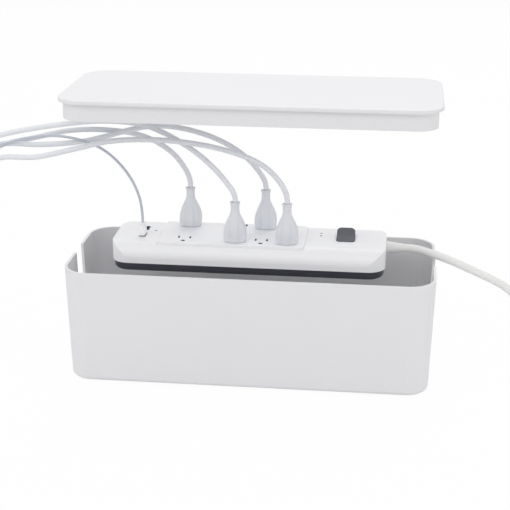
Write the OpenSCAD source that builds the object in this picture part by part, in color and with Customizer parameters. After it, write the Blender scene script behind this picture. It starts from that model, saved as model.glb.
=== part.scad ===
// Cable management box, shown taken apart as in the photograph: an open box, a power strip held
// above its place in the box, and the lid held above both. Millimetres, +Z up, floor at Z = 0.

/* [Box shell] */
// Outside length of the box at its rim, mm
box_len = 410; // [300:1:520]
// Outside depth of the box at its rim, mm
box_dep = 170; // [130:1:230]
// Height of the shell from its underside to its rim, mm
box_high = 129; // [90:1:180]
// Wall thickness of the shell, mm
box_wall = 3; // [2:0.1:4.5]
// Floor thickness of the shell, mm
box_floor = 3; // [2:0.1:5]
// Corner radius of the shell at its rim, mm
rim_r = 30; // [18:1:40]
// How far each wall leans in between the rim and the floor, mm
draft = 4; // [0.5:0.1:8]
// Radius of the shell's outside bottom edge, mm
bottom_r = 5; // [2:0.5:10]
// Width of the cord slot in each end wall, mm
slot_wide = 32; // [20:1:50]
// Depth of the cord slots below the rim, mm
slot_deep = 50; // [20:1:70]
// Radius of the slots' lower corners, mm
slot_r = 10; // [3:0.5:12]

/* [Feet] */
// Diameter of a foot, mm
foot_dia = 20; // [12:1:26]
// Height of a foot, mm
foot_high = 2; // [1:0.1:5]

/* [Lid] */
// Thickness of the lid's plate, mm
lid_thick = 4; // [2:0.1:8]
// How far the plate stays inside the box's outline, mm
lid_inset = 1; // [0:0.1:3]
// Radius of the plate's upper edge, mm
lid_edge_r = 1.4; // [0.5:0.1:2]
// Height of the lip under the plate, mm
lip_drop = 19; // [8:0.5:30]
// Thickness of the lip, mm
lip_wall = 2; // [1.2:0.1:4]
// Gap between the lip and the box's inner wall, mm
lip_gap = 3; // [0.5:0.1:6]
// How far the lid is held above its seat on the rim, mm
lid_up = 187; // [150:1:260]

/* [Power strip case] */
// Depth of the strip's cover, mm
strip_dep = 88; // [88:1:110]
// Height of the white cover, mm
cover_high = 22; // [20:0.5:30]
// Wall thickness of the cover, mm
cover_wall = 2.5; // [1.8:0.1:2.7]
// Radius of the cover's upper front edge, mm
cover_edge_r = 16; // [12:0.5:17]
// Radius of the cover's upper back edge, mm
cover_back_r = 6; // [3:0.5:7]
// Corner radius of the cover seen from above, mm
strip_r = 20; // [14:0.5:22]
// Distance of the case screws from the cover's sides, mm
screw_in = 14; // [12:0.5:16]
// Height of the dark base, mm
base_high = 10; // [8:0.5:16]
// How far the base stays inside the cover's outline, mm
base_inset = 1.5; // [0.5:0.1:2]
// Radius of the base's lower edge, mm
base_edge_r = 5; // [2:0.5:6]
// Length of the strip's USB end, left of the outlet panel, mm
usb_zone = 51; // [50:1:70]
// Length of the strip's switch end, right of the outlet panel, mm
switch_zone = 90; // [88:1:110]
// How far the strip is held above its seat on the box's floor, mm
strip_up = 115.8; // [90:0.1:150]

/* [Outlets] */
// Distance from one outlet column to the next, mm
pitch = 29; // [27:0.5:36]
// Panel length left of the first outlet, mm
panel_left = 29; // [18:1:40]
// Panel length right of the last outlet, mm
panel_right = 20; // [16:1:40]
// Depth of the raised outlet panel, mm
panel_dep = 77; // [76:0.5:77.5]
// Height of the panel above the cover, mm
panel_rise = 1.5; // [0.5:0.1:3]
// Distance of the front outlets from the strip's centre line, mm
row_front = 21; // [18:0.5:24]
// Distance of the back outlets from the strip's centre line, mm
row_back = 30; // [26:0.5:31]
// Distance between a plug's two flat blades, mm
blade_gap = 12.7; // [12:0.1:13.5]
// Width of a blade, mm
blade_wide = 6.3; // [6:0.1:7]
// Thickness of a blade, mm
blade_thick = 1.5; // [1.3:0.1:1.7]
// Length of a blade, mm
blade_long = 17; // [15:0.5:18]
// Diameter of the earth pin, mm
earth_dia = 4.8; // [4.6:0.1:5]
// Length of the earth pin, mm
earth_long = 20; // [18:0.5:21]

/* [Plugs] */
// Width of a plug body at its widest, mm
plug_wide = 25.2; // [22:0.2:27]
// Depth of a plug body, mm
plug_dep = 21; // [18:0.2:22]
// Height of a plug from its face to the end of its collar, mm
plug_high = 45; // [38:1:52]
// Diameter of a plug's neck, mm
neck_dia = 9.6; // [8:0.2:11]

/* [Switch and lights] */
// Length of the rocker along the strip, mm
rocker_wide = 20.4; // [16:0.2:24]
// Half depth of the rocker, from its pin to its ends, mm
rocker_r = 15.4; // [12:0.1:16]
// Tilt of the rocker each way from level, degrees
rocker_tilt = 20; // [10:1:22]
// Diameter of the rocker's pins, mm
pin_dia = 3.6; // [2.4:0.1:5]
// Diameter of an indicator light, mm
light_dia = 2.6; // [2:0.1:5]

/* [USB] */
// Distance between the two USB sockets, mm
usb_gap = 24; // [19:0.5:26]
// Height of the USB plug's grip, mm
usb_grip_high = 12; // [8:0.5:20]

/* [Mains cord] */
// Diameter of the strip's own mains cord, mm
mains_dia = 9; // [7:0.1:10]
// Length of the strain relief outside the strip, mm
relief_long = 20; // [12:1:35]
// Diameter of a plug's cord, mm
cord_dia = 6; // [4:0.1:6.4]
// Diameter of the USB cord, mm
usb_dia = 3; // [2.4:0.1:3.4]

/* [Fits] */
// Clearance round a piece that moves in another, mm
slide_fit = 0.3; // [0.2:0.05:0.6]
// Clearance round a fixed piece in its seat, mm
seat_fit = 0.2; // [0.1:0.05:0.4]

/* [Hidden] */
$fn = 64;

// Box
rim_z = foot_high + box_high;
shell_x = box_len / 2 - rim_r;
shell_y = box_dep / 2 - rim_r;
foot_x = box_len / 2 - 35;
foot_y = box_dep / 2 - 30;
lean = draft / box_high;

// Lid
lid_z = rim_z + seat_fit + lid_up;
lip_r = rim_r - box_wall - lip_gap;

// Strip
strip_x = -4;
panel_len = panel_left + 4 * pitch + panel_right;
strip_len = usb_zone + panel_len + switch_zone;
left_x = strip_x - strip_len / 2;
right_x = strip_x + strip_len / 2;
panel_x0 = left_x + usb_zone;
panel_x1 = panel_x0 + panel_len;
case_x = strip_len / 2 - strip_r;
case_y = strip_dep / 2 - strip_r;
base_z = foot_high + box_floor + seat_fit + strip_up;
base_wall = 2.5;
base_in_z = base_z + 2.2;
split_z = base_z + base_high;
top_z = split_z + cover_high;
under_top = top_z - cover_wall;
panel_z = top_z + panel_rise;
panel_y = row_back + 11 - panel_dep / 2;
panel_low = under_top - seat_fit - 2;
columns = [0, 2, 3, 4];
rows = [-row_front, row_back];
function col_x(i) = panel_x0 + panel_left + columns[i] * pitch;
slot_off = 6;
bar_z = base_in_z + 1.8;
bar2_z = bar_z + 4;
clip_top = panel_low - 0.3;
// board tops carry the parts that reach the cover
board_t = 1.6;
board_z = base_in_z + 10.8;
board_top = board_z + board_t;

// Plugs: column index, row index
plug_at = [[0, 1], [1, 0], [2, 1], [3, 0]];
plug_seat = panel_z + seat_fit;
function plug_x(n) = col_x(plug_at[n - 1][0]);
function plug_row(n) = rows[plug_at[n - 1][1]];
plug_y_off = 0.5;
neck_from = plug_high - 12;

// Switch
switch_x = right_x - 45.5;
switch_y = 5;
pivot_z = top_z - 2.2;
rocker_y = sqrt(rocker_r * rocker_r - 70);
switch_in_y = rocker_r + slide_fit + 0.1;
switch_in_x = rocker_wide / 2 + slide_fit;
switch_wall = 1.3;
switch_out_x = switch_in_x + switch_wall;
switch_out_y = switch_in_y + switch_wall;
switch_low = top_z - 18.5;
nub_r = 11.7;
contact_z = pivot_z - nub_r - 0.9;

// Lights
light_x = panel_x1 + 16;
light_ys = [21, 12];

// USB
usb_x = left_x + 31;
usb_ys = [4 + usb_gap / 2, 4 - usb_gap / 2];
dot_x = usb_x + 12;
dot_y = 8;
usb_seat = panel_z;

// Relief
relief_y = 18;
relief_z = split_z + 9.5;
relief_dia = mains_dia + 5.4;

// ---------- shared shapes ----------

// A body with round corners: its half section, drawn outward from the corner's centre, is
// turned round each corner and run along each side, and a block fills the middle.
module rounded_body(cx, cy, z0, z1) {
  for (a = [0 : 3])
    translate([(a == 0 || a == 3) ? cx : -cx, (a < 2) ? cy : -cy, 0])
      rotate([0, 0, 90 * a])
        rotate_extrude(angle = 90)
          children();
  for (s = [0, 180])
    rotate([0, 0, s]) {
      translate([-cx, cy, 0])
        rotate([90, 0, 90])
          linear_extrude(height = 2 * cx)
            children();
      translate([cx, cy, 0])
        rotate([90, 0, 0])
          linear_extrude(height = 2 * cy)
            children();
    }
  translate([-cx, -cy, z0])
    cube([2 * cx, 2 * cy, z1 - z0]);
}

// Half section with a round upper edge
module top_round(r, z0, z1, e) {
  translate([0, z0])
    square([r, z1 - z0 - e]);
  translate([0, z0])
    square([r - e, z1 - z0]);
  translate([r - e, z1 - e])
    circle(r = e);
}

// Half section with a round lower edge
module low_round(r, z0, z1, e) {
  translate([0, z0 + e])
    square([r, z1 - z0 - e]);
  translate([0, z0])
    square([r - e, z1 - z0]);
  translate([r - e, z0 + e])
    circle(r = e);
}

// Flat outline with round corners, centred
module round_rect(x, y, r) {
  square([x - 2 * r, y], center = true);
  square([x, y - 2 * r], center = true);
  for (i = [-1, 1])
    for (j = [-1, 1])
      translate([i * (x / 2 - r), j * (y / 2 - r)])
        circle(r = r);
}

function unit(v) = v / norm(v);
function way(p, i) =
  i == 0 ? unit(p[1] - p[0]) :
  i == len(p) - 1 ? unit(p[i] - p[i - 1]) :
  unit(unit(p[i] - p[i - 1]) + unit(p[i + 1] - p[i]));
function across(t, up) = unit(cross(up, t));

// A tube of r along points p: rings of n sides square to the path, closed with flat ends
module tube(p, r, n, up) {
  rings = [for (i = [0 : len(p) - 1])
    let(t = way(p, i), u = across(t, up), v = cross(t, u))
      for (k = [0 : n - 1])
        p[i] + r * (cos(360 * (k + 0.5) / n) * u + sin(360 * (k + 0.5) / n) * v)];
  last = (len(p) - 1) * n;
  sides = [for (i = [0 : len(p) - 2])
    for (k = [0 : n - 1])
      let(a = i * n + k, b = i * n + (k + 1) % n)
        each [[a, a + n, b], [b, a + n, b + n]]];
  caps = [for (k = [1 : n - 2])
    each [[0, k, k + 1], [last, last + k + 1, last + k]]];
  polyhedron(points = rings, faces = concat(sides, caps), convexity = 10);
}

// ---------- box ----------

module shell_section(r_top, z0, r_edge) {
  // the wall leans by "lean", and a true arc rounds its foot
  t = atan(lean);
  cx = r_top - (rim_z - z0 - r_edge) * lean - r_edge / cos(t);
  polygon([[0, z0], [cx, z0], [cx, z0 + r_edge],
    [cx + r_edge * cos(t), z0 + r_edge - r_edge * sin(t)],
    [r_top, rim_z], [0, rim_z]]);
  translate([cx, z0 + r_edge])
    circle(r = r_edge);
}

module box_shell() {
  color([0.86, 0.86, 0.87])
  difference() {
    rounded_body(shell_x, shell_y, foot_high, rim_z)
      shell_section(rim_r, foot_high, bottom_r);
    rounded_body(shell_x, shell_y, foot_high + box_floor, rim_z)
      shell_section(rim_r - box_wall, foot_high + box_floor, bottom_r - 2);
    translate([-box_len, 0, 0])
      rotate([90, 0, 90])
        linear_extrude(height = 2 * box_len)
          slot_outline();
  }
}

module slot_outline() {
  low = rim_z - slot_deep;
  translate([-slot_wide / 2, low + slot_r])
    square([slot_wide, slot_deep]);
  translate([-slot_wide / 2 + slot_r, low])
    square([slot_wide - 2 * slot_r, slot_deep]);
  for (s = [-1, 1])
    translate([s * (slot_wide / 2 - slot_r), low + slot_r])
      circle(r = slot_r);
}

module box_feet() {
  color([0.5, 0.5, 0.52])
  for (x = [-foot_x, foot_x])
    for (y = [-foot_y, foot_y])
      translate([x, y, 0])
        rotate_extrude()
          difference() {
            square([foot_dia / 2, foot_high]);
            translate([foot_dia / 2 - 0.6, 0])
              difference() {
                square([0.6, 0.6]);
                translate([0, 0.6])
                  circle(r = 0.6);
              }
          }
}

module lid() {
  out_r = rim_r - lid_inset;
  color([0.95, 0.95, 0.96])
  union() {
    rounded_body(shell_x, shell_y, lid_z, lid_z + lid_thick)
      top_round(out_r, lid_z, lid_z + lid_thick, min(lid_edge_r, lid_thick / 2));
    difference() {
      rounded_body(shell_x, shell_y, lid_z - lip_drop, lid_z)
        translate([0, lid_z - lip_drop])
          square([lip_r, lip_drop]);
      rounded_body(shell_x, shell_y, lid_z - lip_drop, lid_z)
        translate([0, lid_z - lip_drop])
          square([lip_r - lip_wall, lip_drop]);
    }
  }
}

// ---------- strip case ----------

screw_y = strip_dep / 2 - screw_in;
screw_spots = [[left_x + screw_in, screw_y], [left_x + screw_in, -screw_y],
  [right_x - screw_in, screw_y], [right_x - screw_in, -screw_y]];

// The cover's block: round corners seen from above, soft long edges, crisp ends
module cover_block(z0, z1, inset, front, back) {
  half = strip_dep / 2 - inset;
  intersection() {
    translate([strip_x, 0, z0])
      linear_extrude(height = z1 - z0)
        round_rect(strip_len - 2 * inset, 2 * half, strip_r - inset);
    translate([left_x - 1, 0, 0])
      rotate([90, 0, 90])
        linear_extrude(height = strip_len + 2) {
          translate([-half, z0])
            square([half, z1 - z0 - front]);
          translate([front - half, z0])
            square([2 * half - front - back, z1 - z0]);
          translate([0, z0])
            square([half, z1 - z0 - back]);
          translate([front - half, z1 - front])
            circle(r = front);
          if (back > 0)
            translate([half - back, z1 - back])
              circle(r = back);
        }
  }
}

module strip_cover() {
  color([0.94, 0.94, 0.95])
  difference() {
    union() {
      difference() {
        cover_block(split_z, top_z, 0, cover_edge_r, cover_back_r);
        cover_block(split_z - 1, under_top, cover_wall, cover_edge_r - cover_wall, 0);
      }
      for (s = screw_spots)
        translate([s[0], s[1], split_z])
          cylinder(d = 7, h = under_top - split_z + 0.5);
    }
    // window of the outlet panel
    translate([(panel_x0 + panel_x1) / 2, panel_y, split_z + 10])
      linear_extrude(height = 40)
        round_rect(panel_len + 2 * seat_fit, panel_dep + 2 * seat_fit, 4 + seat_fit);
    // window of the switch
    translate([switch_x, switch_y, under_top - 1])
      linear_extrude(height = 10)
        square([2 * (switch_out_x + seat_fit), 2 * (switch_out_y + seat_fit)], center = true);
    // windows of the USB sockets
    for (y = usb_ys)
      translate([usb_x, y, under_top - 1])
        linear_extrude(height = 10)
          square([7 + 2 * seat_fit, 14.4 + 2 * seat_fit], center = true);
    for (y = light_ys)
      translate([light_x, y, under_top - 1])
        cylinder(d = light_dia + 2 * seat_fit, h = 10);
    translate([dot_x, dot_y, under_top - 1])
      cylinder(d = light_dia + 2 * seat_fit, h = 10);
    // slot of the strain relief
    translate([right_x - cover_wall - 2, relief_y, 0])
      rotate([90, 0, 90])
        linear_extrude(height = 10)
          relief_neck(seat_fit, split_z - 1);
    for (s = screw_spots)
      translate([s[0], s[1], split_z - 1])
        cylinder(d = 3.2, h = 13);
  }
}

module relief_neck(grow, low) {
  r = relief_dia / 2 - 1.2 + grow;
  translate([0, relief_z])
    circle(r = r);
  translate([-r, low])
    square([2 * r, relief_z - low]);
}

module strip_base() {
  r = strip_r - base_inset;
  color([0.12, 0.13, 0.15])
  difference() {
    union() {
      difference() {
        translate([strip_x, 0, 0])
          rounded_body(case_x, case_y, base_z, split_z)
            low_round(r, base_z, split_z, base_edge_r);
        translate([strip_x, 0, 0])
          rounded_body(case_x, case_y, base_in_z, split_z)
            low_round(r - base_wall, base_in_z, split_z, base_edge_r - 2);
      }
      for (s = screw_spots)
        translate([s[0], s[1], base_z + 1])
          cylinder(d = 7, h = base_high - 1);
      // ribs under the bars, taller under the neutral bars
      for (i = [0 : 2])
        translate([col_x(0) + 13 + (i == 0 ? 0 : (i + 0.05) * pitch), 0, base_in_z - 1]) {
          for (y = rows) {
            translate([-1, y - 8.5, 0])
              cube([2, 17, bar_z - seat_fit - base_in_z + 1]);
            translate([-1, y - 1.2, 0])
              cube([2, 3.9, bar2_z - seat_fit - base_in_z + 1]);
          }
        }
      // posts under the outlet panel
      for (x = [panel_x0 + 3, panel_x0 + panel_left + pitch, panel_x1 - 8])
        translate([x, 4, base_in_z - 1])
          cylinder(d = 7, h = panel_low - seat_fit - base_in_z + 1);
      // posts under the two boards
      for (x = [light_x - 5, light_x + 11])
        for (y = [-31, 31])
          translate([x, y, base_in_z - 1])
            cylinder(d = 4.4, h = board_z - base_in_z + 1);
      for (x = [usb_x - 22, usb_x + 13])
        for (y = [-15, 23])
          translate([x, y, base_in_z - 1])
            cylinder(d = 4.4, h = board_z - base_in_z + 1);
      // saddle under the strain relief
      translate([right_x - base_inset - base_wall - 3.2, relief_y - 6, base_in_z - 1])
        cube([2, 12, relief_z - 8.5 - seat_fit - base_in_z + 1]);
    }
    for (s = screw_spots) {
      translate([s[0], s[1], base_z - 1])
        cylinder(d = 3.4, h = base_high + 2);
      translate([s[0], s[1], base_z - 1])
        cylinder(d = 6.6, h = 4.2);
    }
  }
}

module case_screws() {
  color([0.6, 0.6, 0.62])
  for (s = screw_spots)
    translate([s[0], s[1], base_z + 0.8])
      difference() {
        union() {
          cylinder(d = 6, h = 2.3);
          cylinder(d = 3, h = 18);
        }
        for (a = [0, 90])
          rotate([0, 0, a])
            translate([-1.9, -0.4, -1])
              cube([3.8, 0.8, 2.2]);
      }
}

module outlet_panel() {
  color([0.95, 0.95, 0.96])
  difference() {
    union() {
      translate([(panel_x0 + panel_x1) / 2, panel_y, 0])
        rounded_body(panel_len / 2 - 4, panel_dep / 2 - 4, under_top - seat_fit, panel_z)
          top_round(4, under_top - seat_fit, panel_z, 1.2);
      // rim that keeps it under the cover
      translate([(panel_x0 + panel_x1) / 2, panel_y + panel_dep / 2 - 0.2, panel_low])
        linear_extrude(height = under_top - seat_fit - panel_low) {
          translate([4 - panel_len / 2, 0.4 - panel_dep])
            square([panel_len - 8, panel_dep - 0.4]);
          translate([-panel_len / 2 - 3, -66])
            square([panel_len + 6, 66]);
        }
    }
    for (i = [0 : 3])
      for (y = rows)
        translate([col_x(i), y, 0]) {
          for (s = [-1, 1])
            translate([s * blade_gap / 2, slot_off, panel_low + 4])
              cube([blade_thick + 0.7, blade_wide + 0.9, 20], center = true);
          translate([0, -slot_off, panel_low - 1])
            cylinder(d = earth_dia + 0.6, h = 20);
        }
  }
}

// ---------- strip inside ----------

// A clip: two leaves that stand on a foot, with the blade's room between them
module clip(z, from_y, to_y) {
  room = blade_thick + 0.4;
  for (s = [-1, 1])
    translate([s * (room / 2 + 0.3) - 0.3, slot_off - 2.5, z])
      cube([0.6, 5, clip_top - z]);
  translate([-room / 2 - 0.6, from_y, z])
    cube([room + 1.2, to_y - from_y, 1]);
}

module live_bar() {
  color([0.78, 0.6, 0.3])
  union() {
    for (y = rows) {
      translate([col_x(0) - 11, y + slot_off - 2, bar_z])
        cube([panel_x1 + 7 - col_x(0) + 11, 4, 1]);
      for (i = [0 : 3])
        translate([col_x(i) - blade_gap / 2, y, 0])
          clip(bar_z, slot_off - 2.5, slot_off + 2.5);
    }
    translate([panel_x1 + 3, rows[0] + slot_off - 2, bar_z])
      cube([4, rows[1] - rows[0] + 4, 1]);
  }
}

module neutral_bar() {
  color([0.8, 0.62, 0.34])
  union() {
    for (y = rows) {
      translate([col_x(0) - 11, y - 1, bar2_z])
        cube([panel_x1 + 1 - col_x(0) + 11, 3.5, 1]);
      for (i = [0 : 3])
        translate([col_x(i) + blade_gap / 2, y, 0])
          clip(bar2_z, -1, slot_off + 2.5);
    }
    translate([panel_x1 - 3, rows[0] - 1, bar2_z])
      cube([4, rows[1] - rows[0] + 3.5, 1]);
  }
}

module earth_bar() {
  color([0.75, 0.66, 0.42])
  difference() {
    union() {
      for (y = rows) {
        translate([col_x(0) - 21, y - slot_off - 2, bar_z])
          cube([panel_x1 - 9 - col_x(0) + 21, 4, 1]);
        for (i = [0 : 3])
          translate([col_x(i), y - slot_off, bar_z])
            cylinder(d = earth_dia + 1.8, h = clip_top - bar_z);
      }
      translate([col_x(0) - 21, rows[0] - slot_off - 2, bar_z])
        cube([4, rows[1] - rows[0] + 4, 1]);
    }
    for (y = rows)
      for (i = [0 : 3])
        translate([col_x(i), y - slot_off, bar_z + 1])
          cylinder(d = earth_dia + 0.4, h = 40);
  }
}

// An insulated lead, swept along its points
module lead(p, d) {
  tube(p, d / 2, 8, [0, 0, 1]);
}

module internal_leads() {
  d = 2.2;
  gx = right_x - cover_wall - 4.6;
  sx = switch_x;
  color([0.35, 0.3, 0.28])
  union() {
    lead([[gx, relief_y - 3, relief_z - 3], [gx - 22, 13, contact_z - 7],
      [sx + 3.6, 13, contact_z - 7]], d);
    lead([[sx - 3.6, -3, contact_z - 7], [sx - switch_out_x - 2.4, -3, board_z - 4.5],
      [light_x - 3, -3, bar_z + 3], [panel_x1 + 4, -3, bar_z + 2.4]], d);
    lead([[gx, relief_y + 1, relief_z + 2], [gx - 24, relief_y + 8, board_z - 3],
      [panel_x1 + 6, relief_y + 9, bar2_z + 2.5], [panel_x1 - 1, relief_y + 9, bar2_z + 2.4]], d);
    lead([[gx, relief_y + 2, relief_z - 4], [gx - 22, relief_y + 4, bar_z + 4],
      [panel_x1 + 9, rows[1] - slot_off, bar_z + 2.5],
      [panel_x1 - 12, rows[1] - slot_off, bar_z + 2.4]], d);
    lead([[col_x(0) - 9, rows[1] + slot_off, bar_z + 2.4],
      [usb_x + 18, 22, board_z - 3], [usb_x + 8, 12, board_z - 1.4]], d);
    lead([[col_x(0) - 9, rows[0] + 1, bar2_z + 2.4],
      [usb_x + 18, -12, board_z - 3], [usb_x + 8, -6, board_z - 1.4]], d);
  }
}

module surge_board() {
  color([0.15, 0.42, 0.25])
  translate([light_x - 9, -35, board_z])
    cube([switch_x - switch_out_x - 1.2 - light_x + 9, 70, board_t]);
}

module surge_varistors() {
  color([0.2, 0.35, 0.65])
  for (y = [-26, -13, 0])
    translate([light_x + 3, y, 0]) {
      translate([-2, 0, board_top + 7.4])
        rotate([0, 90, 0])
          cylinder(d = 11, h = 4);
      for (s = [-1, 1])
        translate([0, s * 2.5, board_top])
          cylinder(d = 0.8, h = 4, $fn = 24);
    }
}

module light(z_from) {
  translate([0, 0, z_from])
    cylinder(d = light_dia + 0.8, h = under_top - 1 - z_from);
  translate([0, 0, z_from])
    cylinder(d = light_dia, h = top_z - z_from);
  translate([0, 0, top_z])
    scale([1, 1, 0.3])
      sphere(d = light_dia - 0.2);
}

module indicator_lights() {
  color([0.3, 0.3, 0.32])
  union() {
    for (y = light_ys)
      translate([light_x, y, 0])
        light(board_top);
    translate([dot_x, dot_y, 0])
      light(board_top);
  }
}

module usb_board() {
  color([0.15, 0.42, 0.25])
  translate([usb_x - 24.5, -20, board_z])
    cube([40, 46, board_t]);
}

module usb_transformer() {
  color([0.85, 0.75, 0.25])
  translate([usb_x - 16, 4, board_top]) {
    translate([-6, -7, 0])
      cube([12, 14, 3]);
    translate([-4, -5, 2])
      cube([8, 10, 6]);
    translate([-6, -7, 7])
      cube([12, 14, 3]);
  }
}

module usb_capacitors() {
  color([0.16, 0.2, 0.35])
  for (y = [-11, 19])
    translate([usb_x - 16, y, board_top])
      cylinder(d = 8, h = 11);
}

module usb_sockets() {
  color([0.7, 0.71, 0.73])
  for (y = usb_ys)
    translate([usb_x, y, board_top])
      difference() {
        translate([-3.5, -7.2, 0])
          cube([7, 14.4, top_z + 0.1 - board_top]);
        translate([-2.65, -6.35, 1])
          cube([5.3, 12.7, 60]);
      }
}

module usb_tongues() {
  color([0.1, 0.1, 0.11])
  for (y = usb_ys)
    translate([usb_x, y, board_top + 1]) {
      translate([-2.65, -6.35, 0])
        cube([5.3, 12.7, 3]);
      translate([0.2, -5, 2])
        cube([1.6, 10, top_z - 5 - board_top - 3]);
    }
}

// ---------- switch ----------

module switch_housing() {
  color([0.9, 0.9, 0.91])
  difference() {
    union() {
      translate([switch_x, switch_y, switch_low])
        linear_extrude(height = top_z - switch_low + 0.5)
          square([2 * switch_out_x, 2 * switch_out_y], center = true);
      translate([switch_x, switch_y, 0])
        rounded_body(switch_out_x - 3.4, switch_out_y - 3.4, top_z, top_z + 1.2)
          top_round(5, top_z, top_z + 1.2, 0.6);
    }
    translate([switch_x, switch_y, switch_low + 1.6])
      linear_extrude(height = 40)
        round_rect(2 * switch_in_x, 2 * switch_in_y, 4.8);
    translate([switch_x - 20, switch_y, pivot_z])
      rotate([0, 90, 0])
        cylinder(d = pin_dia + 0.3, h = 40);
    for (y = [-8, 0, 8])
      translate([switch_x, switch_y + y, switch_low])
        cube([6.4, 1.2, 8], center = true);
  }
}

module switch_rocker() {
  color([0.33, 0.33, 0.36])
  translate([switch_x, switch_y, pivot_z])
    rotate([rocker_tilt, 0, 0])
      union() {
        intersection() {
          translate([-rocker_wide / 2, 0, 0])
            rotate([90, 0, 90])
              linear_extrude(height = rocker_wide)
                intersection() {
                  circle(r = rocker_r, $fn = 96);
                  polygon([[-16, 8.9], [0, 6.9], [16, 8.9], [16, -6], [-16, -6]]);
                }
          translate([0, 0, -20])
            linear_extrude(height = 40)
              round_rect(rocker_wide, 2 * rocker_y, 5.5);
        }
        translate([0, 0, -nub_r + 0.2])
          translate([-3, -1.5, 0])
            cube([6, 3, 6]);
        translate([-switch_out_x + 0.2, 0, 0])
          rotate([0, 90, 0])
            cylinder(d = pin_dia, h = 2 * switch_out_x - 0.4);
      }
}

module switch_contact() {
  color([0.8, 0.62, 0.34])
  translate([switch_x - 3, switch_y - 9.5, contact_z])
    cube([6, 19, 0.4]);
}

module switch_terminals() {
  color([0.82, 0.66, 0.4])
  for (y = [-8, 0, 8])
    translate([switch_x - 3, switch_y + y - 0.4, contact_z - 9.5])
      cube([6, 0.8, 9.3]);
}

// ---------- strain relief ----------

module mains_relief() {
  in_x = right_x - cover_wall;
  color([0.8, 0.8, 0.81])
  union() {
    translate([in_x - 2.2, relief_y, relief_z])
      rotate([0, 90, 0])
        cylinder(r = 8.5, h = 2);
    translate([in_x - 0.4, relief_y, 0])
      rotate([90, 0, 90])
        linear_extrude(height = cover_wall + 0.8)
          relief_neck(0, split_z + 0.2);
    translate([right_x + 0.2, relief_y, relief_z])
      rotate([0, 90, 0])
        rotate_extrude() {
          square([relief_dia / 2, 2]);
          polygon([[0, 2], [relief_dia / 2 - 0.7, 2],
            [mains_dia / 2 + 0.15, relief_long - 0.2], [0, relief_long - 0.2]]);
          for (i = [0 : 3])
            translate([0, 4 + i * (relief_long - 6) / 4])
              square([relief_dia / 2 - 0.5 - i * 0.45, 1.8]);
        }
  }
}

// ---------- plugs ----------

// Half widths of the body, in millimetres above its face for a body 36 mm high and 25.2 mm wide
plug_outline = [[0, 11.3], [1, 11.7], [3, 12.1], [6, 12.5], [9, 12.6], [12, 12.4], [15, 11.9],
  [18, 11.1], [21, 10.1], [24, 8.9], [27, 7.5], [30, 6.1], [32, 5.3], [34, 4.95], [36, 4.8]];
function body_half(h, w) = w / 25.2 * lookup(36 * h, plug_outline);

module body_side(w, high) {
  n = 18;
  polygon(concat([for (i = [0 : n]) [body_half(i / n, w), high * i / n]],
    [for (i = [n : -1 : 0]) [-body_half(i / n, w), high * i / n]]));
}

module plug_body(n) {
  high = plug_high - 9;
  translate([plug_x(n), plug_row(n) + plug_y_off, plug_seat])
    union() {
      intersection() {
        translate([0, 20, 0])
          rotate([90, 0, 0])
            linear_extrude(height = 40)
              body_side(plug_wide, high);
        translate([-20, 0, 0])
          rotate([90, 0, 90])
            linear_extrude(height = 40)
              body_side(plug_dep, high);
        linear_extrude(height = 60)
          round_rect(plug_wide, plug_dep, 7);
      }
      // raised band down the front
      intersection() {
        translate([-4, -20, 0])
          cube([8, 20, high - 5]);
        translate([-20, 0, 0])
          rotate([90, 0, 90])
            linear_extrude(height = 40)
              body_side(plug_dep + 2.4, high);
      }
      translate([0, 0, high - 5])
        cylinder(d = neck_dia, h = 13);
      // collar with a lug at each side
      translate([0, 0, plug_high - 2.2])
        cylinder(d = neck_dia + 0.7, h = 2.2);
      translate([-neck_dia / 2 - 0.8, -1.6, plug_high - 2.2])
        cube([neck_dia + 1.6, 3.2, 2.2]);
    }
}

module plug_pins(n) {
  color([0.82, 0.7, 0.42])
  translate([plug_x(n), plug_row(n), plug_seat]) {
    for (s = [-1, 1])
      translate([s * blade_gap / 2 - blade_thick / 2, slot_off - blade_wide / 2, -blade_long])
        cube([blade_thick, blade_wide, blade_long]);
    translate([0, -slot_off, -earth_long])
      rotate_extrude()
        difference() {
          square([earth_dia / 2, earth_long]);
          translate([earth_dia / 2 - 1.5, 0])
            difference() {
              square([1.5, 1.5]);
              translate([0, 1.5])
                circle(r = 1.5);
            }
        }
  }
}

module plug_1_body() {
  color([0.86, 0.87, 0.9])
  plug_body(1);
}
module plug_2_body() {
  color([0.88, 0.89, 0.91])
  plug_body(2);
}
module plug_3_body() {
  color([0.86, 0.87, 0.9])
  plug_body(3);
}
module plug_4_body() {
  color([0.88, 0.89, 0.91])
  plug_body(4);
}
module plug_1_pins() {
  plug_pins(1);
}
module plug_2_pins() {
  plug_pins(2);
}
module plug_3_pins() {
  plug_pins(3);
}
module plug_4_pins() {
  plug_pins(4);
}

module usb_plug_grip() {
  color([0.9, 0.9, 0.92])
  translate([usb_x, usb_ys[1], 0]) {
    translate([0, 0, usb_seat])
      linear_extrude(height = usb_grip_high)
        round_rect(7, 15.8, 2.4);
    translate([0, 0, usb_seat + usb_grip_high - 1])
      cylinder(d = usb_dia + 1.6, h = 2);
  }
}

module usb_plug_shell() {
  color([0.75, 0.76, 0.78])
  translate([usb_x, usb_ys[1], usb_seat - 12])
    difference() {
      translate([-2.25, -6, 0])
        cube([4.5, 12, 12]);
      translate([-1.95, -5.7, -1])
        cube([3.9, 11.4, 14]);
    }
}

module usb_plug_insert() {
  color([0.95, 0.95, 0.95])
  translate([usb_x - 1.95, usb_ys[1] - 5.7, usb_seat - 11.6])
    cube([1.9, 11.4, 11.6]);
}

// ---------- cords ----------

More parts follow.
